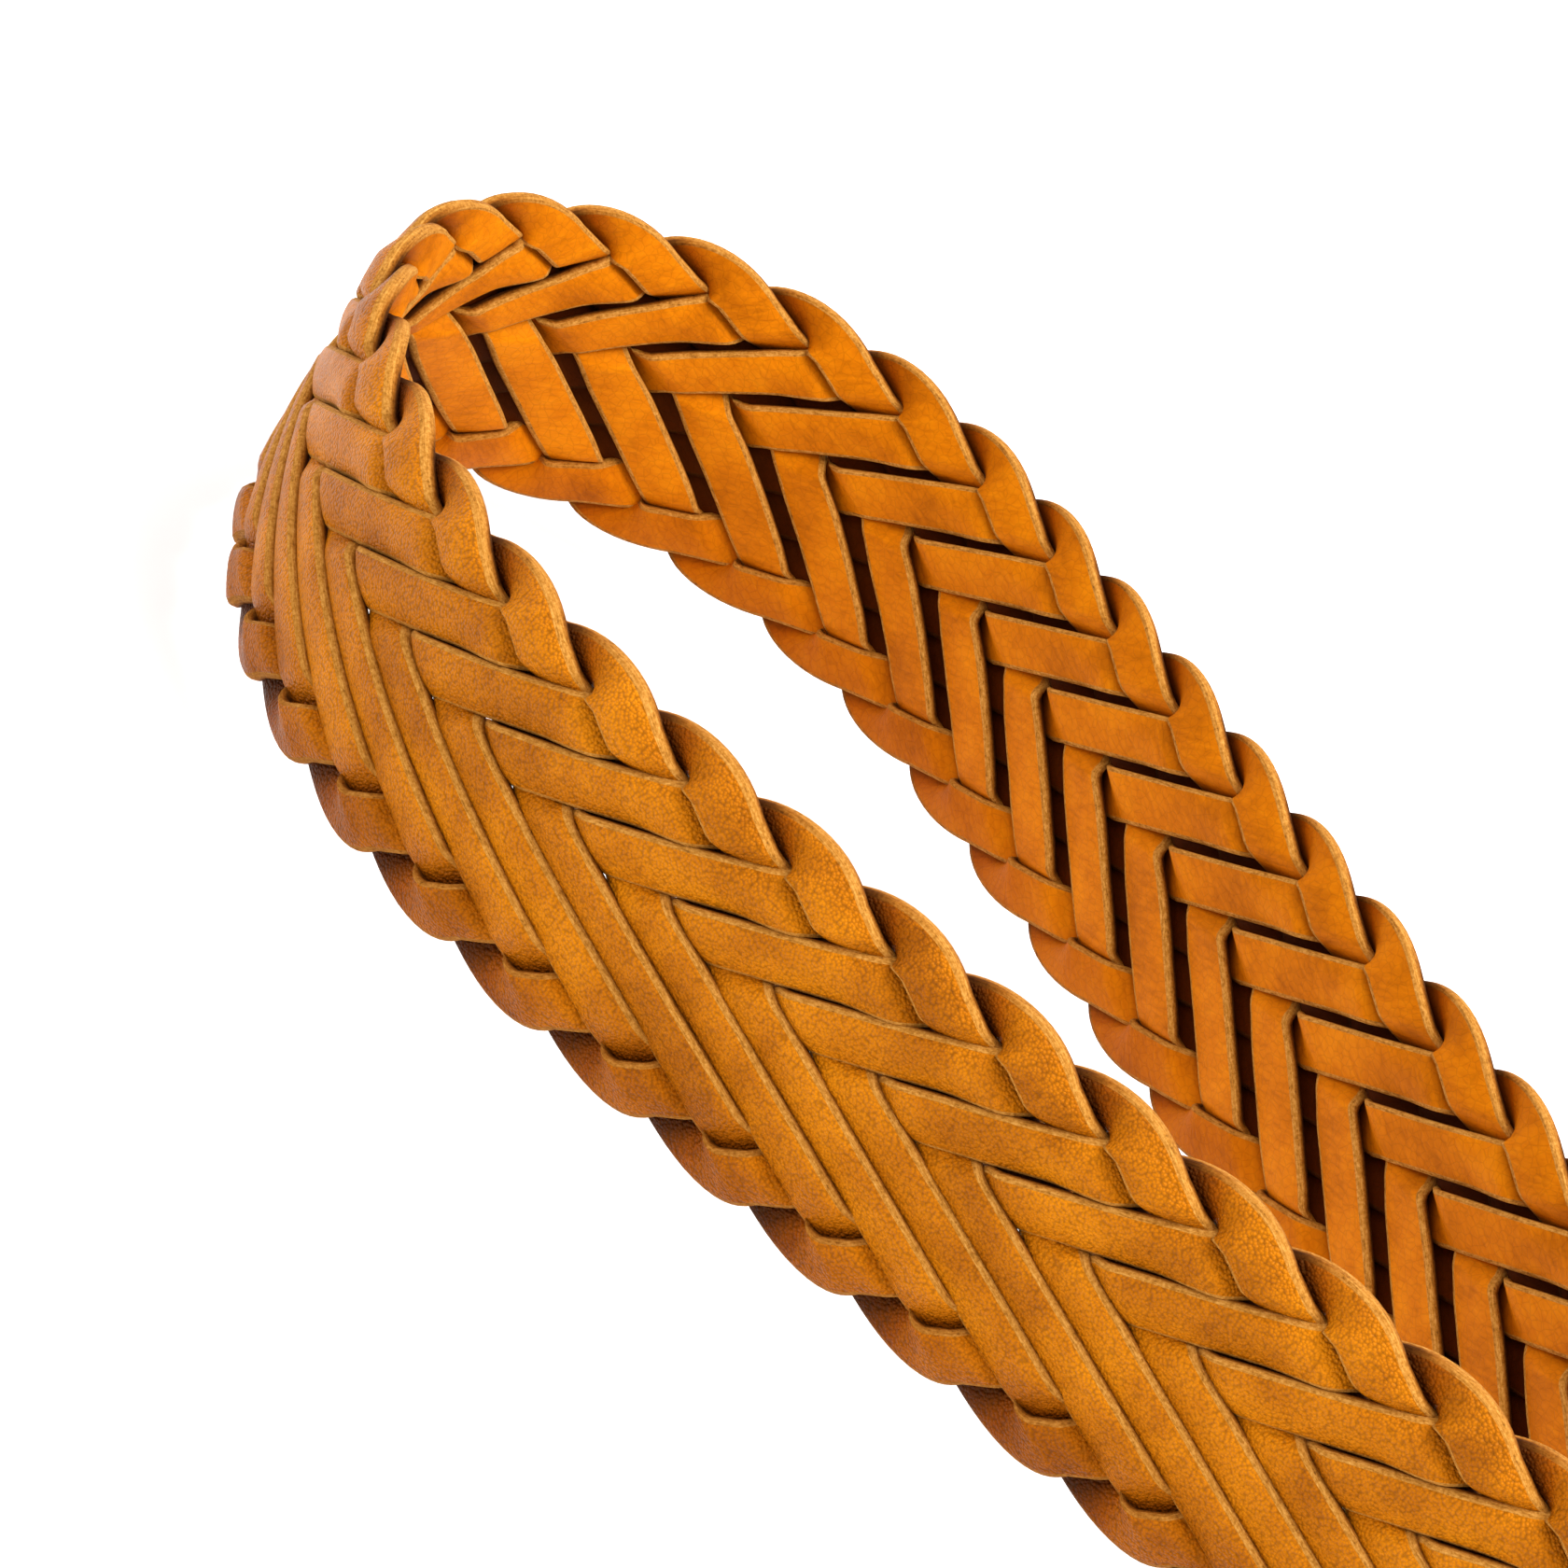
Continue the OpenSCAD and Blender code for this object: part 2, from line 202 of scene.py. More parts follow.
class Nodes:
    """Short calls for building a material's node tree."""

    def __init__(self, name):
        self.material = bpy.data.materials.new(name)
        self.material.use_nodes = True
        self.tree = self.material.node_tree
        self.shader = self.tree.nodes["Principled BSDF"]

    def add(self, kind, **settings):
        node = self.tree.nodes.new(kind)
        for key, value in settings.items():
            setattr(node, key, value)
        return node

    def link(self, source, target):
        self.tree.links.new(source, target)

    def mapped(self, scale, uv=True):
        """Coordinates in millimetres, times scale: the UV map, or the object's own."""
        if uv:
            source = self.add("ShaderNodeUVMap", uv_map="along").outputs["UV"]
            factor = scale
        else:
            source = self.add("ShaderNodeTexCoord").outputs["Object"]
            factor = [value / MM for value in scale]
        mapping = self.add("ShaderNodeMapping")
        mapping.inputs["Scale"].default_value = factor
        self.link(source, mapping.inputs["Vector"])
        return mapping.outputs["Vector"]

    def noise(self, vector, scale, detail=4.0, roughness=0.55):
        node = self.add("ShaderNodeTexNoise")
        node.inputs["Scale"].default_value = scale
        node.inputs["Detail"].default_value = detail
        node.inputs["Roughness"].default_value = roughness
        self.link(vector, node.inputs["Vector"])
        return node.outputs["Fac"]

    def voronoi(self, vector, scale, feature="SMOOTH_F1"):
        node = self.add("ShaderNodeTexVoronoi", feature=feature)
        node.inputs["Scale"].default_value = scale
        self.link(vector, node.inputs["Vector"])
        return node.outputs["Distance"]

    def ramp(self, value, stops):
        node = self.add("ShaderNodeValToRGB")
        elements = node.color_ramp.elements
        while len(elements) < len(stops):
            elements.new(0.5)
        for element, (place, colour) in zip(elements, stops):
            element.position = place
            element.color = (*colour, 1) if len(colour) == 3 else colour
        self.link(value, node.inputs["Fac"])
        return node.outputs["Color"]

    def math(self, operation, a, b):
        node = self.add("ShaderNodeMath", operation=operation)
        for socket, value in zip(node.inputs, (a, b)):
            if isinstance(value, (int, float)):
                socket.default_value = value
            else:
                self.link(value, socket)
        return node.outputs[0]

    def mix(self, fac, a, b, blend="MIX"):
        node = self.add("ShaderNodeMix", data_type="RGBA", blend_type=blend)
        for socket, value in zip((node.inputs[0], node.inputs[6], node.inputs[7]), (fac, a, b)):
            if isinstance(value, (int, float)):
                socket.default_value = value
            elif isinstance(value, tuple):
                socket.default_value = (*value, 1)
            else:
                self.link(value, socket)
        return node.outputs[2]

    def with_painted_shade(self, colour):
        """The colour with painted shade multiplied in: darkened where the strand is covered and
        towards the lower edge.
        """
        painted_shade = self.add("ShaderNodeAttribute", attribute_name="painted_shade").outputs["Fac"]
        shade_tint = self.ramp(painted_shade, COVERED_SHADE)
        return self.mix(1.0, colour, shade_tint, "MULTIPLY")

    def bump(self, height, strength, distance, under=None):
        node = self.add("ShaderNodeBump")
        node.inputs["Strength"].default_value = strength
        node.inputs["Distance"].default_value = distance * MM
        self.link(height, node.inputs["Height"])
        if under is not None:
            self.link(under, node.inputs["Normal"])
        return node.outputs["Normal"]

    def finish(self, colour, roughness, normal, **values):
        self.link(colour, self.shader.inputs["Base Color"])
        if isinstance(roughness, (int, float)):
            self.shader.inputs["Roughness"].default_value = roughness
        else:
            self.link(roughness, self.shader.inputs["Roughness"])
        if normal is not None:
            self.link(normal, self.shader.inputs["Normal"])
        for key, value in values.items():
            self.shader.inputs[key.replace("_", " ")].default_value = value
        return self.material


def leather_grain(name, dark, mid, light, pebble=1.0, strand=True):
    """Vegetable-tanned grain: fine pebbled pores, cloudy dye and a soft waxy sheen."""
    n = Nodes(name)
    place = n.mapped((1, 1, 1), uv=False)
    cloud = n.noise(place, 0.09, 3)
    fine = n.noise(place, 0.9, 5, 0.6)
    tone = n.math("ADD", n.math("MULTIPLY", cloud, 0.8), n.math("MULTIPLY", fine, 0.2))
    colour = n.ramp(tone, [(0.36, dark), (0.5, mid), (0.64, light)])
    pores = n.voronoi(place, 3.0, "F1")
    pits = n.ramp(pores, [(0.1, grey(1)), (0.45, grey(0.85)), (0.8, grey(0.35))])
    colour = n.mix(0.6, colour, n.mix(1.0, colour, pits, "MULTIPLY"))
    # Strands get painted shade: darker where covered and towards the lower edge.
    if strand:
        colour = n.with_painted_shade(colour)
    grain = n.noise(place, 4.5, 4, 0.6)
    rough = n.ramp(fine, [(0.3, grey(0.33)), (0.7, grey(0.48))])
    normal = n.bump(grain, 0.5 * pebble, 0.05)
    domes = n.math("SUBTRACT", 1.0, pores)
    normal = n.bump(domes, 1.0 * pebble, 0.26, normal)
    normal = n.bump(cloud, 0.5, 0.5, normal)
    return n.finish(colour, rough, normal, Specular_IOR_Level=0.2,
                    Specular_Tint=GLOSS_TINT)


def leather_cut(name, dark, mid, light, strand=True):
    """The fibrous edge of a cut strap: paler, with short dark flecks along its length."""
    n = Nodes(name)
    along = n.mapped((0.5, 3.2, 1))
    place = n.mapped((1, 1, 1), uv=False)
    fibres = n.noise(along, 1.6, 6, 0.7)
    specks = n.noise(place, 3.0, 4, 0.65)
    tone = n.math("ADD", n.math("MULTIPLY", fibres, 0.55), n.math("MULTIPLY", specks, 0.45))
    colour = n.ramp(tone, [(0.34, dark), (0.47, mid), (0.62, light)])
    # Strands get painted shade: darker where covered and towards the lower edge.
    if strand:
        colour = n.with_painted_shade(colour)
    normal = n.bump(specks, 0.8, 0.12)
    normal = n.bump(fibres, 0.7, 0.16, normal)
    return n.finish(colour, 0.78, normal, Specular_IOR_Level=0.2,
                    Specular_Tint=GLOSS_TINT)


def leather_flesh(name, dark, mid, light):
    """The inner side: smoothed flesh with fine creases across the strip and a dull sheen."""
    n = Nodes(name)
    place = n.mapped((1, 1, 1), uv=False)
    across = n.mapped((1.5, 0.5, 1))
    cloud = n.noise(place, 0.12, 3)
    creases = n.noise(across, 1.1, 5, 0.62)
    crackle = n.voronoi(place, 1.1, "DISTANCE_TO_EDGE")
    tone = n.math("ADD", n.math("MULTIPLY", cloud, 0.6), n.math("MULTIPLY", creases, 0.4))
    colour = n.ramp(tone, [(0.34, dark), (0.5, mid), (0.66, light)])
    cracks = n.ramp(crackle, [(0.0, grey(0)), (0.09, grey(1))])
    colour = n.mix(0.16, colour, n.mix(1.0, colour, cracks, "MULTIPLY"))
    # Painted shade: darker where the strand is covered and towards the lower edge.
    colour = n.with_painted_shade(colour)
    normal = n.bump(creases, 0.5, 0.16)
    normal = n.bump(cracks, 0.3, 0.05, normal)
    return n.finish(colour, 0.6, normal, Specular_IOR_Level=0.14,
                    Specular_Tint=GLOSS_TINT)


def thread_material():
    n = Nodes("waxed_thread")
    place = n.mapped((1, 1, 1), uv=False)
    tone = n.noise(place, 5, 4)
    colour = n.ramp(tone, [(0.35, (0.36, 0.19, 0.06)), (0.65, (0.66, 0.42, 0.18))])
    normal = n.bump(tone, 0.5, 0.06)
    return n.finish(colour, 0.6, normal, Sheen_Weight=0.2)


def brass_material():
    n = Nodes("brushed_brass")
    place = n.mapped((1, 1, 1), uv=False)
    lines = n.mapped((0.6, 0.6, 6), uv=False)
    cloud = n.noise(place, 0.25, 3)
    brush = n.noise(lines, 2.0, 5, 0.7)
    colour = n.ramp(cloud, [(0.35, (0.62, 0.40, 0.13)), (0.65, (0.80, 0.57, 0.24))])
    rough = n.ramp(brush, [(0.3, grey(0.16)), (0.7, grey(0.3))])
    normal = n.bump(brush, 0.18, 0.03)
    return n.finish(colour, rough, normal, Metallic=1.0)


def floor_material():
    n = Nodes("pale_floor")
    place = n.mapped((1, 1, 1), uv=False)
    tone = n.noise(place, 0.02, 3)
    colour = n.ramp(tone, [(0.3, grey(0.78)), (0.7, grey(0.81))])
    normal = n.bump(n.noise(place, 1.2, 3), 0.05, 0.05)
    return n.finish(colour, 0.75, normal, Specular_IOR_Level=0.15)


GRAIN = leather_grain("strand_grain",
                      (0.36, 0.095, 0.0010), (0.51, 0.147, 0.0014), (0.64, 0.200, 0.0024))
CUT = leather_cut("strand_cut_edge",
                  (0.12, 0.042, 0.008), (0.37, 0.145, 0.018), (0.58, 0.28, 0.060))
FLESH = leather_flesh("strand_flesh",
                      (0.36, 0.090, 0.0006), (0.53, 0.143, 0.0008), (0.65, 0.198, 0.0016))
TAB_GRAIN = leather_grain("tab_grain", (0.40, 0.132, 0.010), (0.46, 0.160, 0.013),
                          (0.52, 0.188, 0.018), 0.8, strand=False)
TAB_EDGE = leather_cut("tab_burnished_edge", (0.10, 0.035, 0.006), (0.26, 0.10, 0.018),
                       (0.36, 0.15, 0.03), strand=False)
THREAD = thread_material()
BRASS = brass_material()


# ---- Strands ----------------------------------------------------------------------------

def turn_distance(u):
    """Steps from the nearest turn at an edge, rounded over at the turn."""
    e = np.minimum(np.minimum(u, CYCLE - u), np.abs(u - STRANDS))
    return np.where(e > TURN_ROUND, e, (TURN_ROUND ** 2 + e * e) / (2 * TURN_ROUND))


def crossing(u):
    d = turn_distance(u)
    return np.where(np.minimum(u, CYCLE - u) < STRANDS / 2, d, STRANDS - d)


def shear(g):
    return np.where(g > RIDGE, UPPER_SHEAR, -LOWER_SHEAR)


def layer(u, reach, edge_reach):
    """+1 where the strand lies on the outer face, -1 on the inner face."""
    w = np.where(u < 0.6, u + CYCLE, u)
    total = np.zeros_like(w)
    for i, change in enumerate(LAYER_CHANGES):
        half = edge_reach if change in (STRANDS, CYCLE) else reach
        total += (-1) ** i * smooth((w - change) / (2 * half) + 0.5)
    return 1 - 2 * total


def side_vector(u):
    """Sideways vectors [s, v] of the rings, half a strand wide."""
    g = crossing(u)
    e = np.minimum(np.minimum(u, CYCLE - u), np.abs(u - STRANDS))
    way = np.where(u > STRANDS, 1, -1)
    slope = np.where(u < STRANDS, 1, -1)
    swing = np.minimum(e / TURN_ROUND, 1)
    side_s = PITCH * (way * swing / 2 + shear(g))
    run_s = PITCH * (0.5 + slope * swing * shear(g))
    run_v = RISE * slope * swing
    area = np.abs(side_s * run_v - RISE * run_s)
    scale = STRAND_HALF * np.hypot(run_s, run_v) / area
    return side_s * scale, RISE * scale


def strand_section():
    """A strand's section as (across from -1 to 1, height in mm, kind), the grain face first."""
    half, thick = STRAND_HALF, STRAND_THICK / 2
    round_top, round_low = ROUND_TOP, ROUND_LOW
    points = []
    for w in np.linspace(-1, 1, 9):
        across = w * (1 - round_top / half)
        points.append((across, thick + CROWN * (1 - abs(across) ** 2.4) - CROWN / 2, 0))
    for k in range(1, 4):
        a = math.radians(90 - 90 * k / 3)
        points.append((1 - round_top / half * (1 - math.cos(a)),
                       thick - CROWN / 2 - round_top * (1 - math.sin(a)) + 0.04, 1))
    for k in range(0, 3):
        a = math.radians(-90 * k / 2)
        points.append((1 - round_low / half * (1 - math.cos(a)),
                       -thick + round_low * (1 + math.sin(a)), 1))
    for w in np.linspace(0.96, -0.96, 9):
        points.append((w * (1 - round_low / half), -thick - FLESH_CROWN * (1 - w * w), 2))
    for k in range(2, -1, -1):
        a = math.radians(-90 * k / 2)
        points.append((-1 + round_low / half * (1 - math.cos(a)),
                       -thick + round_low * (1 + math.sin(a)), 1))
    for k in range(3, 0, -1):
        a = math.radians(90 - 90 * k / 3)
        points.append((-1 + round_top / half * (1 - math.cos(a)),
                       thick - CROWN / 2 - round_top * (1 - math.sin(a)) + 0.04, 1))
    return points[::-1]


SECTION = strand_section()

# Layer of one side of a strand, from -1 covered to 1 on top, and the painted shade tone it has
# there.
LEVELS = [-1, -0.75, -0.2, 1]
PAINTED_SHADE_TONES = [0.0, 0.5, 0.88, 1.0]
# Painted shade on the lower edge: from how far below the middle it starts, over what height, by what
# share.
LOWER_EDGE_FROM, LOWER_EDGE_REACH, LOWER_EDGE_SHADE = 8, 6, 0.28


def shading(face, height, v):
    """Painted shade, as the share of the leather's colour that shows: all of it on top, none where
    it is covered, less towards the lower edge.
    """
    level = face[:, None] * np.where(height > 0, 1, -1)[None, :]
    tone = np.interp(level, LEVELS, PAINTED_SHADE_TONES)
    # Painted shade, growing towards the lower edge.
    lower_edge = smooth((-v - LOWER_EDGE_FROM) / LOWER_EDGE_REACH)
    return tone * (1 - LOWER_EDGE_SHADE * lower_edge[:, None])


def waves(t, rng, count, shortest, longest):
    """Smooth seeded variation between about -1 and 1 along t, in steps."""
    total = np.zeros_like(t)
    for _ in range(count):
        total += np.sin(2 * math.pi * (t / rng.uniform(shortest, longest) + rng.random()))
    return total / count


def strand(number):
    rng = random.Random(4100 + number)
    start = (number - 1) * PITCH
    length = STRANDS * PITCH
    first = math.floor((-POINT_ARM - start) / length) - 1
    last = math.ceil((BUCKLE_ARM - start) / length) + 1
    t = np.arange(first * CYCLE, last * CYCLE, RING_STEP)
    u = np.mod(t, CYCLE)
    g = crossing(u)
    s = PITCH * (t / 2 + np.abs(shear(g)) * np.abs(g - RIDGE)) + PHASE + start
    keep = (s > END_MARGIN - POINT_ARM) & (s < BUCKLE_ARM - END_MARGIN)
    t, u, g, s = t[keep], u[keep], g[keep], s[keep]
    from_turn = np.minimum(np.minimum(u, CYCLE - u), np.abs(u - STRANDS))
    inset = EDGE_INSET * (1 - smooth(from_turn / 1.5))
    v = RISE * (g - STRANDS / 2) - inset * np.sign(g - STRANDS / 2)
    side_s, side_v = side_vector(u)
    face = layer(u, LAYER_REACH, TURN_REACH)
    spread = INNER_SPREAD * smooth(-face) * smooth((RIDGE - g) / 1.2) * smooth((g - 1.2) / 1.2)
    width = 1 + 0.03 * waves(t, rng, 3, 3, 11) + spread
    at_upper = smooth((g - 7.3) / 0.9)
    lift = face * (LAYER_OFFSET + 0.05 * waves(t, rng, 3, 4, 13) + EDGE_LIFT * at_upper)
    lean = STRAND_TILT + (EDGE_TILT - STRAND_TILT) * at_upper
    tilt = lean * (1 + 0.3 * waves(t, rng, 3, 5, 17)) * face
    across = np.array([p[0] for p in SECTION])
    height = np.array([p[1] for p in SECTION])
    w = across[None, :]
    ripple = 0.05 * waves(t, rng, 4, 0.7, 2.4)
    to_tab = np.minimum(BUCKLE_ARM - TAB_LAP - s, s + POINT_ARM - TAB_LAP)
    squeeze = 1 - TAB_SQUEEZE * (1 - smooth(to_tab / SQUEEZE_REACH))
    n = lift[:, None] + tilt[:, None] * w + height[None, :] + ripple[:, None] * (w ** 2)
    place_s = s[:, None] + side_s[:, None] * w * width[:, None]
    place_v = v[:, None] + side_v[:, None] * w * width[:, None]
    points = strap_points(place_s, place_v, n * squeeze[:, None])
    run = np.append(0, np.cumsum(np.linalg.norm(np.diff(points[:, 0], axis=0), axis=1))) / MM
    section = np.stack([across * STRAND_HALF, height], 1)
    gaps = np.linalg.norm(np.diff(section, axis=0), axis=1)
    girth = np.append(0, np.cumsum(gaps))
    kinds = []
    for j, point in enumerate(SECTION):
        following = SECTION[(j + 1) % len(SECTION)]
        kinds.append(point[2] if point[2] == following[2] else 1)
    name = f"strand_{number:02d}"
    mesh = sweep_mesh(f"{name}_leather", points, kinds, [GRAIN, CUT, FLESH], run, girth)
    # Painted shade for each point, from shading(): dark where the strand is covered, darker towards
    # the lower edge.
    painted_shade = mesh.attributes.new("painted_shade", "FLOAT", "POINT")
    painted_shade.data.foreach_set("value", shading(face, height, v).ravel())
    return new_object(f"{name}_leather", mesh, "strap", [name])


for strand_number in range(1, STRANDS + 1):
    strand(strand_number)


# ---- Tabs, keeper and stitching ---------------------------------------------------------

TAB_HALF_WIDTH = 16.9
TAB_LEATHER = 2.0
TAB_BORE = 1.6
TAB_MID = TAB_BORE + TAB_LEATHER / 2
TAB_FACE = TAB_BORE + TAB_LEATHER
SLOT_HALF = 3.2
SLOT_FRONT = 16
SLOT_BACK = 5
EDGE_TO_STITCH = 2.6
STITCH_STEP = 4.2
STITCH_LENGTH = 2.8
FIRST_STITCH = 3.2
POINT_LENGTH = 92
POINT_LEATHER = 1.5
POINT_HALF_WIDTH = 16.5
POINT_RADIUS = 20
TAPER_START, TAPER_END = 2, 14
HALF_GAP = 0.05
KEEPER_REST = -7
KEEPER_LENGTH = 11
KEEPER_LEATHER = 1.8
KEEPER_INNER_HALF = 18.4
KEEPER_BACK = TAB_FACE + 1
KEEPER_FRONT = TAB_FACE + 6.8

BUCKLE_END = np.array([BAR.x - BAR_REACH, BAR.y, MIDDLE_Z])
POINT_END = np.array([*path_at(np.array(-POINT_ARM)), MIDDLE_Z])


def groove(across, at, depth=0.28, reach=0.75):
    """Depth of the stitched crease that runs along both edges of a tab."""
    return depth * np.exp(-((np.abs(across) - at) / reach) ** 2)


def sheet_mesh(name, points, lengths, widths, hole):
    """Leather cut from a sheet: a grid of points [along, across, xyz] without its holes."""
    rows, columns = points.shape[:2]
    faces = [
        (i * columns + j, (i + 1) * columns + j, (i + 1) * columns + j + 1, i * columns + j + 1)
        for i in range(rows - 1) for j in range(columns - 1) if not hole(i, j)
    ]
    mesh = bpy.data.meshes.new(name)
    mesh.from_pydata((points.reshape(-1, 3) * MM).tolist(), [], faces)
    mesh.materials.append(TAB_GRAIN)
    mesh.materials.append(TAB_EDGE)
    mesh.polygons.foreach_set("use_smooth", np.ones(len(faces), bool))
    layer = mesh.uv_layers.new(name="along")
    corner = np.zeros(len(mesh.loops), int)
    mesh.loops.foreach_get("vertex_index", corner)
    along, across = corner // columns, corner % columns
    flat = np.stack([lengths[along], widths[along, across]], 1)
    layer.data.foreach_set("uv", flat.ravel())
    used = np.zeros(rows * columns, bool)
    used[np.array(faces).ravel()] = True
    working = bmesh.new()
    working.from_mesh(mesh)
    working.verts.ensure_lookup_table()
    loose = [v for v, keep in zip(working.verts, used) if not keep]
    bmesh.ops.delete(working, geom=loose, context="VERTS")
    working.to_mesh(mesh)
    working.free()
    return mesh


def leather_sheet(piece, thickness, bevel):
    solid = piece.modifiers.new("leather", "SOLIDIFY")
    solid.thickness = thickness * MM
    solid.offset = 0
    solid.material_offset_rim = 1
    rounded = piece.modifiers.new("worn_edges", "BEVEL")
    rounded.width = bevel * MM
    rounded.segments = 3
    rounded.limit_method = "ANGLE"
    rounded.angle_limit = math.radians(50)


def buckle_tab():
    """The folded tab: out along its front, round the bar and back behind the braid."""
    straight = TAB_LAP + BAR_REACH
    fold = math.pi * TAB_MID
    slot_start = straight - SLOT_FRONT
    slot_end = straight + fold + SLOT_BACK
    round_lengths = straight + fold * np.linspace(0, 1, 25)
    ahead = np.concatenate([np.linspace(0, slot_start - SLOT_HALF - 0.8, 24),
                            [slot_start], np.linspace(slot_start + 1, straight, 16)[:-1]])
    behind = np.concatenate([np.linspace(straight + fold, slot_end - 1, 5)[1:], [slot_end],
                             np.linspace(slot_end + SLOT_HALF + 0.8, 2 * straight + fold, 30)])
    lengths = np.concatenate([ahead, round_lengths, behind])
    slot_lines = SLOT_HALF * np.sin(np.radians(np.arange(-90, 91, 15)))
    side_lines = np.linspace(SLOT_HALF, TAB_HALF_WIDTH, 24)[1:]
    across = np.concatenate([-side_lines[::-1], slot_lines, side_lines])
    starts = np.isclose(lengths, slot_start)
    ends = np.isclose(lengths, slot_end)
    rounding = np.sqrt(np.clip(SLOT_HALF ** 2 - across ** 2, 0, None))
    place = lengths[:, None] - starts[:, None] * rounding + ends[:, None] * rounding
    angle = np.clip((place - straight) / TAB_MID, 0, math.pi)
    past = np.clip(place - straight - fold, 0, None)
    crease = groove(across, TAB_HALF_WIDTH - EDGE_TO_STITCH)[None, :]
    radius = TAB_MID - crease * np.where((angle > 0) & (angle < math.pi), 0.4, 1.0)
    x = np.where(place < straight, place - TAB_LAP, BAR_REACH + radius * np.sin(angle) - past)
    y = -radius * np.cos(angle)
    z = np.broadcast_to(across, x.shape)
    points = np.stack([x, y, z], -1) + BUCKLE_END
    first_slot = int(np.argmax(starts))
    last_slot = int(np.argmax(ends))
    low, high = len(side_lines), len(side_lines) + len(slot_lines) - 1

    def slot(i, j):
        return first_slot <= i < last_slot and low <= j < high

    mesh = sheet_mesh("buckle_tab_leather", points, lengths, np.array(z), slot)
    piece = new_object("buckle_tab_leather", mesh, "strap", ["buckle_tab"])
    leather_sheet(piece, TAB_LEATHER - 0.08, 0.55)


def point_half(name, face, node):
    """One half of the pointed tab, domed a little, with its crease along the outline."""
    shoulder = POINT_LENGTH - POINT_RADIUS
    turn = math.asin(POINT_HALF_WIDTH / POINT_RADIUS)
    nose = shoulder + POINT_RADIUS * np.cos(np.linspace(turn, 0.02, 26))
    straight = np.linspace(-TAB_LAP, nose[0], 100)[:-1]
    x = np.concatenate([straight, nose])
    past_shoulder = np.clip(x - shoulder, 0, None)
    nose_half = np.sqrt(np.clip(POINT_RADIUS ** 2 - past_shoulder ** 2, 0, None))
    half = np.minimum(POINT_HALF_WIDTH, nose_half)
    share = np.linspace(-1, 1, 45)
    z = half[:, None] * share
    taper = smooth((x - TAPER_START) / (TAPER_END - TAPER_START))
    middle = TAB_BORE * (1 - taper) + HALF_GAP * taper + POINT_LEATHER / 2
    crease = groove(z, POINT_HALF_WIDTH - EDGE_TO_STITCH, 0.2)
    crease = crease * (np.abs(z) < half[:, None] - 0.5)
    dome = 0.25 * (1 - share ** 2) * taper[:, None]
    y = face * (middle[:, None] - crease + dome)
    points = np.stack([np.broadcast_to(x[:, None], z.shape), y, z], -1) + POINT_END
    if face < 0:
        points, z = points[:, ::-1], z[:, ::-1]
    mesh = sheet_mesh(name, points, x, z, lambda i, j: False)
    piece = new_object(name, mesh, "strap", [node])
    leather_sheet(piece, POINT_LEATHER - 0.06, 0.45)


def stitch_rings(middle, out):
    """Rings of one waxed stitch: two plies, bowed out of the leather and sunk at its ends."""
    steps, around = 15, 12
    rings = []
    for k in range(steps):
        along = -1 + 2 * k / (steps - 1)
        thick = 0.36 * math.sqrt(max(1 - along ** 6, 0.05))
        sink = 0.42 * along ** 4
        ring = []
        for q in range(around):
            a = 2 * math.pi * q / around
            ply = thick * (1 + 0.16 * math.cos(2 * (a - 3.2 * along)))
            ring.append((
                middle[0] + along * (STITCH_LENGTH / 2 + 0.25),
                middle[1] + out * (ply * math.sin(a) + 0.14 - sink),
                middle[2] + ply * math.cos(a) + 0.22 * along,
            ))
        rings.append(ring if out < 0 else ring[::-1])
    return rings


def stitching(name, middles, body, node):
    """One object of many stitches, each from its middle and the side it faces, as (x, y, z, out)."""
    points, faces = [], []
    for x, y, z, out in middles:
        rings = stitch_rings((x, y, z), out)
        first, around = len(points), len(rings[0])
        for ring in rings:
            points += [(px * MM, py * MM, pz * MM) for px, py, pz in ring]
        for k in range(len(rings) - 1):
            for q in range(around):
                a, b = first + k * around + q, first + k * around + (q + 1) % around
                faces.append((a, b, b + around, a + around))
        faces.append(tuple(first + q for q in range(around))[::-1])
        faces.append(tuple(first + (len(rings) - 1) * around + q for q in range(around)))
    mesh = bpy.data.meshes.new(name)
    mesh.from_pydata(points, [], faces)
    mesh.materials.append(THREAD)
    mesh.polygons.foreach_set("use_smooth", np.ones(len(faces), bool))
    return new_object(name, mesh, body, [node] if node else [])


def buckle_stitching():
    count = int((TAB_LAP + BAR_REACH - 8) / STITCH_STEP)
    middles = []
    for out in (-1, 1):
        for edge in (-1, 1):
            for i in range(count):
                place = (-TAB_LAP + FIRST_STITCH + i * STITCH_STEP, out * (TAB_FACE - 0.22),
                         edge * (TAB_HALF_WIDTH - EDGE_TO_STITCH))
                middles.append((*(BUCKLE_END + place), out))
    stitching("buckle_tab_stitches", middles, "strap", "buckle_tab_stitching")


def point_stitching():
    lap_count = int((TAB_LAP - 2) / STITCH_STEP)
    flat_count = int((POINT_LENGTH - 38) / STITCH_STEP)
    middles = []
    for out in (-1, 1):
        for edge in (-1, 1):
            z = edge * (POINT_HALF_WIDTH - EDGE_TO_STITCH)
            for i in range(lap_count):
                x = -TAB_LAP + FIRST_STITCH + i * STITCH_STEP
                middles.append((*(POINT_END + (x, out * (TAB_BORE + POINT_LEATHER - 0.16), z)), out))
            for i in range(flat_count):
                x = TAPER_END + FIRST_STITCH + i * STITCH_STEP
                middles.append((*(POINT_END + (x, out * (HALF_GAP + POINT_LEATHER - 0.1), z)), out))
    stitching("point_tab_stitches", middles, "strap", "point_tab_stitching")


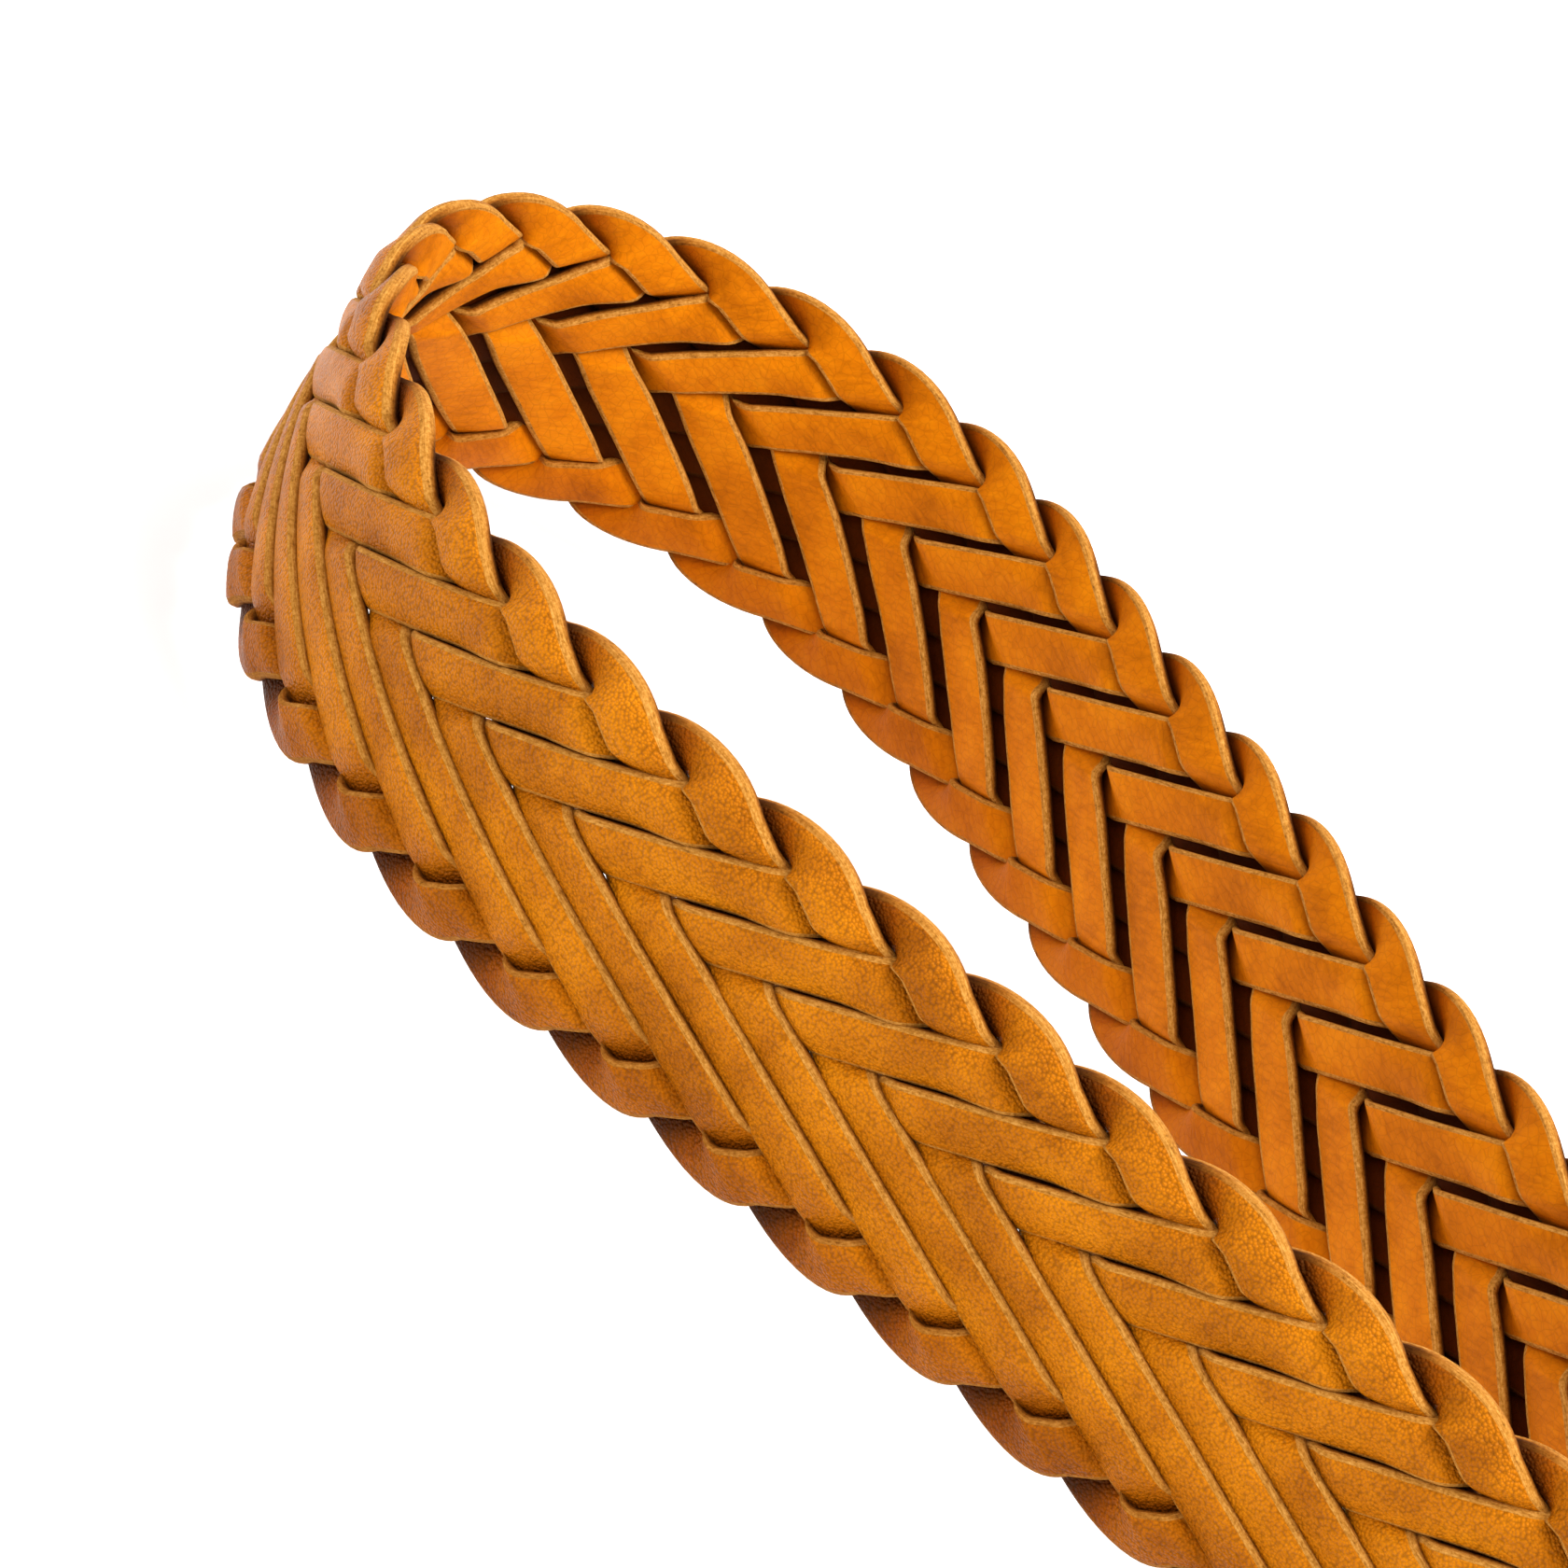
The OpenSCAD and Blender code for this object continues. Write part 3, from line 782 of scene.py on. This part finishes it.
def rounded_section(half_width, half_thick, radius, grooves=0.0):
    """Section points (across, height) of a flat bar with round edges, counter-clockwise."""
    points = []
    for cx, cy, start in [(1, 1, 90), (1, -1, 0), (-1, -1, -90), (-1, 1, -180)]:
        if (cx, cy) == (1, 1):
            for w in np.linspace(-1, 1, 21)[1:-1]:
                across = w * (half_width - radius)
                dip = grooves * math.exp(-((abs(across) - half_width + 1.5) / 0.35) ** 2)
                points.append((across, half_thick - dip))
        if (cx, cy) == (-1, -1):
            for w in np.linspace(1, -1, 9)[1:-1]:
                points.append((w * (half_width - radius), -half_thick))
        for k in range(5):
            a = math.radians(start - 90 * k / 4)
            points.append((cx * (half_width - radius) + radius * math.cos(a),
                           cy * (half_thick - radius) + radius * math.sin(a)))
    return points


def rounded_rectangle(left, right, low, high, radius, spacing=1.0):
    """Points and outward normals round a rectangle with round corners."""
    points, normals = [], []
    corners = [(right, low, -90), (right, high, 0), (left, high, 90), (left, low, 180)]
    for k, (cx, cy, start) in enumerate(corners):
        inner = (cx - math.copysign(radius, cx - (left + right) / 2),
                 cy - math.copysign(radius, cy - (low + high) / 2))
        for step in range(9):
            a = math.radians(start + 90 * step / 8)
            normal = (math.cos(a), math.sin(a))
            points.append((inner[0] + radius * normal[0], inner[1] + radius * normal[1]))
            normals.append(normal)
        following = corners[(k + 1) % 4]
        next_inner = (following[0] - math.copysign(radius, following[0] - (left + right) / 2),
                      following[1] - math.copysign(radius, following[1] - (low + high) / 2))
        a = math.radians(following[2])
        target = (next_inner[0] + radius * math.cos(a), next_inner[1] + radius * math.sin(a))
        here = points[-1]
        pieces = max(int(math.dist(here, target) / spacing), 1)
        for step in range(1, pieces):
            share = step / pieces
            points.append((here[0] + share * (target[0] - here[0]),
                           here[1] + share * (target[1] - here[1])))
            normals.append((math.cos(a), math.sin(a)))
    return np.array(points), np.array(normals)


def keeper():
    half = KEEPER_LEATHER / 2
    line, normals = rounded_rectangle(
        -KEEPER_FRONT - half, KEEPER_BACK + half,
        -KEEPER_INNER_HALF - half, KEEPER_INNER_HALF + half, 2.6
    )
    section = rounded_section(KEEPER_LENGTH / 2, half - 0.02, 0.55, 0.22)
    rings = np.zeros((len(line), len(section), 3))
    for j, (across, height) in enumerate(section):
        rings[:, j, 0] = KEEPER_REST + across
        rings[:, j, 1] = line[:, 0] + normals[:, 0] * height
        rings[:, j, 2] = line[:, 1] + normals[:, 1] * height
    rings = (rings + BUCKLE_END) * MM
    lengths = np.append(0, np.cumsum(np.linalg.norm(np.diff(line, axis=0), axis=1)))
    girth = np.append(0, np.cumsum(np.linalg.norm(np.diff(section, axis=0), axis=1)))
    kinds = [0 if abs(p[0]) < KEEPER_LENGTH / 2 - 0.3 else 1 for p in section]
    mesh = sweep_mesh("keeper_leather", rings, kinds, [TAB_GRAIN, TAB_EDGE], lengths, girth, True)
    new_object("keeper_leather", mesh, "keeper", ["keeper"])
    middles = []
    for across in (-2.6, 0, 2.6):
        for up in (-1.6, 1.6):
            place = (KEEPER_REST + across, KEEPER_BACK + KEEPER_LEATHER - 0.12, up)
            middles.append((*(BUCKLE_END + place), 1))
    stitching("keeper_seam_stitches", middles, "keeper", None)


# ---- Buckle -----------------------------------------------------------------------------

FRAME_LENGTH = 30
RAIL_RADIUS = 2.6
RAIL_Z = 20.5
CORNER_RADIUS = 8
EAR_RADIUS = 3.6
BAR_RADIUS = 1.55
PRONG_HALF = 2.3
PRONG_RING_MID = 2.4


def lathe_rings(profile, centre, around=48):
    """Rings of points turned about a vertical axis through centre, from (radius, height)."""
    angles = 2 * math.pi * np.arange(around) / around
    rings = np.zeros((len(profile), around, 3))
    for k, (radius, height) in enumerate(profile):
        rings[k, :, 0] = radius * np.cos(angles)
        rings[k, :, 1] = radius * np.sin(angles)
        rings[k, :, 2] = height
    return (rings + centre) * MM


def add_rings(mesh_data, rings, closed=False, caps=True):
    """Adds a swept surface to (points, faces)."""
    points, faces = mesh_data
    first = len(points)
    count, around = rings.shape[:2]
    points.extend(map(tuple, rings.reshape(-1, 3).tolist()))
    for k in range(count if closed else count - 1):
        for q in range(around):
            a, b = k * around + q, k * around + (q + 1) % around
            c, d = (b + around) % (count * around), (a + around) % (count * around)
            faces.append((first + a, first + b, first + c, first + d))
    if caps and not closed:
        faces.append(tuple(first + q for q in range(around))[::-1])
        faces.append(tuple(first + (count - 1) * around + q for q in range(around)))


def metal_object(name, mesh_data, body, node):
    mesh = bpy.data.meshes.new(name)
    mesh.from_pydata(mesh_data[0], [], mesh_data[1])
    mesh.materials.append(BRASS)
    mesh.polygons.foreach_set("use_smooth", np.ones(len(mesh_data[1]), bool))
    working = bmesh.new()
    working.from_mesh(mesh)
    bmesh.ops.recalc_face_normals(working, faces=working.faces)
    working.to_mesh(mesh)
    working.free()
    return new_object(name, mesh, body, [node])


def buckle_frame():
    """The rail, a little flatter and wider round its far end, and an ear at each end of it."""
    straight = FRAME_LENGTH - CORNER_RADIUS
    line = [(x, RAIL_Z, 90) for x in np.linspace(1.2, straight, 24)[:-1]]
    for a in np.linspace(90, 0, 17):
        r = math.radians(a)
        line.append((straight + CORNER_RADIUS * math.cos(r),
                     RAIL_Z - CORNER_RADIUS + CORNER_RADIUS * math.sin(r), a))
    low = RAIL_Z - CORNER_RADIUS
    line += [(FRAME_LENGTH, z, 0) for z in np.linspace(low, 0, 14)[1:]]
    line += [(x, -z, -a) for x, z, a in line[-2::-1]]
    around = 32
    rings = np.zeros((len(line), around, 3))
    for k, (x, z, a) in enumerate(line):
        outward = (math.cos(math.radians(a)), math.sin(math.radians(a)))
        far = float(smooth((x - 6) / 20))
        thick = RAIL_RADIUS * (0.86 + 0.14 * far)
        for q in range(around):
            turn = 2 * math.pi * q / around
            out = RAIL_RADIUS * math.cos(turn)
            side = thick * math.sin(turn)
            rings[k, q] = (x + outward[0] * out, side, z + outward[1] * out)
    data = ([], [])
    bar_centre = np.array([BAR.x, BAR.y, BAR.z])
    add_rings(data, (rings + bar_centre) * MM)
    half, round_off = RAIL_RADIUS - 0.03, 0.7
    profile = [(BAR_RADIUS + 0.02, half - 0.25), (BAR_RADIUS + 0.27, half)]
    for a in np.linspace(90, 0, 7):
        r = math.radians(a)
        profile.append((EAR_RADIUS - round_off + round_off * math.cos(r),
                        half - round_off + round_off * math.sin(r)))
    profile += [(radius, -height) for radius, height in profile[::-1]]
    for side in (-1, 1):
        centre = bar_centre + (0, 0, side * RAIL_Z)
        add_rings(data, lathe_rings(profile, centre), closed=True)
    return metal_object("buckle_frame_rail", data, "frame", "buckle_frame")


def buckle_bar():
    """A straight pin with a shallow domed head in each ear."""
    half = RAIL_Z + RAIL_RADIUS - 0.1
    profile = [(0.02, -half)]
    for a in np.linspace(75, 0, 6):
        r = math.radians(a)
        profile.append((BAR_RADIUS * math.cos(r), -half + 0.45 - 0.45 * math.sin(r)))
    profile += [(BAR_RADIUS, z) for z in np.linspace(-half + 1, half - 1, 12)]
    profile += [(radius, -height) for radius, height in profile[:7][::-1]]
    data = ([], [])
    add_rings(data, lathe_rings(profile, np.array([BAR.x, BAR.y, BAR.z]), 32))
    return metal_object("buckle_bar_pin", data, "frame", "buckle_bar")


def prong():
    """Flat bar curled round the buckle bar, then out to a tip bent over the far rail."""
    line = []
    for a in np.linspace(25, 262, 34):
        r = math.radians(a)
        line.append((PRONG_RING_MID * math.cos(r), PRONG_RING_MID * math.sin(r)))
    start = Vector((*line[-1], 0))
    handles = [(5.0, -2.75), (14.0, -3.55), (24.0, -4.05)]
    spine = [start, *(Vector((*p, 0)) for p in handles)]
    for k in range(1, 31):
        t = k / 30
        p = (spine[0] * (1 - t) ** 3 + 3 * spine[1] * t * (1 - t) ** 2
             + 3 * spine[2] * t * t * (1 - t) + spine[3] * t ** 3)
        line.append((p.x, p.y))
    line += [(26.5, -4.12), (29, -4.08), (31, -3.9), (32.6, -3.62), (33.7, -3.3)]
    line = np.array(line)
    ahead = np.gradient(line, axis=0)
    ahead /= np.linalg.norm(ahead, axis=1)[:, None]
    normal = np.stack([ahead[:, 1], -ahead[:, 0]], 1)
    run = np.append(0, np.cumsum(np.linalg.norm(np.diff(line, axis=0), axis=1)))
    share = run / run[-1]
    section = np.array(rounded_section(1.0, 1.0, 0.42))
    rings = np.zeros((len(line), len(section), 3))
    for k in range(len(line)):
        on_body = float(smooth((share[k] - 0.22) / 0.15))
        narrow = 1 - 0.22 * float(smooth((share[k] - 0.55) / 0.45))
        end = 1 - 0.45 * float(smooth((share[k] - 0.97) / 0.03))
        half_width = (PRONG_HALF - 0.02) * narrow * end
        half_thick = (0.78 + 0.22 * on_body) * (1 - 0.2 * share[k]) * end
        rings[k, :, 0] = line[k, 0] + normal[k, 0] * section[:, 1] * half_thick
        rings[k, :, 1] = line[k, 1] + normal[k, 1] * section[:, 1] * half_thick
        rings[k, :, 2] = section[:, 0] * half_width
    data = ([], [])
    add_rings(data, (rings + np.array([BAR.x, BAR.y, BAR.z])) * MM)
    return metal_object("prong_tongue", data, "prong", "prong")


buckle_tab()
point_half("point_tab_front_leather", 1, "point_tab_front")
point_half("point_tab_back_leather", -1, "point_tab_back")
buckle_stitching()
point_stitching()
keeper()
buckle_frame()
buckle_bar()
prong()


# ---- Floor, light and camera ------------------------------------------------------------

def floor():
    half = 3.0
    mesh = bpy.data.meshes.new("studio_floor")
    mesh.from_pydata([(-half, -half, 0), (half, -half, 0), (half, half, 0), (-half, half, 0)],
                     [], [(0, 1, 2, 3)])
    mesh.materials.append(floor_material())
    plane = bpy.data.objects.new("studio_floor", mesh)
    bpy.context.scene.collection.objects.link(plane)


SKY_AT_HORIZON, SKY_OVERHEAD = 0.35, 2.5
KEY_PLACE, KEY_AIM = (0.35, 0.05, 0.9), (-0.1, 0, 0.02)
KEY_SIDES, KEY_WATTS = (0.5, 0.5), 10


def area_light(name, place, aim, size, power):
    data = bpy.data.lights.new(name, "AREA")
    data.shape = "RECTANGLE"
    data.size, data.size_y = size
    data.energy = power
    lamp = bpy.data.objects.new(name, data)
    lamp.location = place
    lamp.rotation_euler = (Vector(aim) - Vector(place)).to_track_quat("-Z", "Y").to_euler()
    bpy.context.scene.collection.objects.link(lamp)


def studio():
    world = bpy.data.worlds.new("studio")
    bpy.context.scene.world = world
    world.use_nodes = True
    tree = world.node_tree
    background = tree.nodes["Background"]
    place = tree.nodes.new("ShaderNodeTexCoord")
    apart = tree.nodes.new("ShaderNodeSeparateXYZ")
    sky = tree.nodes.new("ShaderNodeMapRange")
    sky.inputs["From Min"].default_value = 0.0
    sky.inputs["From Max"].default_value = 1.0
    sky.inputs["To Min"].default_value = SKY_AT_HORIZON
    sky.inputs["To Max"].default_value = SKY_OVERHEAD
    tree.links.new(place.outputs["Generated"], apart.inputs["Vector"])
    tree.links.new(apart.outputs["Z"], sky.inputs["Value"])
    tree.links.new(sky.outputs["Result"], background.inputs["Strength"])
    background.inputs["Color"].default_value = (1, 1, 1, 1)
    area_light("key", KEY_PLACE, KEY_AIM, KEY_SIDES, KEY_WATTS)
    bpy.context.scene.view_settings.view_transform = "Standard"


# Azimuth, elevation and roll in degrees, then metres back, right and up, along the
# camera's own axes, from the loop's middle.
CAMERA_ANGLES = (-29.96, 25.49, 33.53)
CAMERA_FROM_LOOP = (0.5899, 0.0421, -0.0448)
CAMERA_LENS = 133.1


def camera():
    azimuth, elevation, roll = (math.radians(angle) for angle in CAMERA_ANGLES)
    ahead = Vector((math.sin(azimuth) * math.cos(elevation),
                    math.cos(azimuth) * math.cos(elevation), -math.sin(elevation)))
    level = ahead.cross(Vector((0, 0, 1))).normalized()
    upright = level.cross(ahead)
    right = math.cos(roll) * level + math.sin(roll) * upright
    up = -math.sin(roll) * level + math.cos(roll) * upright
    loop_middle = Vector(strap_points(np.array(0.0), 0.0, 0.0))
    back, rightward, upward = CAMERA_FROM_LOOP
    place = loop_middle - ahead * back + right * rightward + up * upward
    data = bpy.data.cameras.new("camera")
    data.sensor_width = 36
    data.lens = CAMERA_LENS
    data.clip_start = 0.01
    view = bpy.data.objects.new("camera", data)
    view.location = place
    basis = [[right[i], up[i], -ahead[i]] for i in range(3)]
    view.rotation_mode = "QUATERNION"
    view.rotation_quaternion = Matrix(basis).to_quaternion()
    bpy.context.scene.collection.objects.link(view)
    bpy.context.scene.camera = view


floor()
studio()
camera()
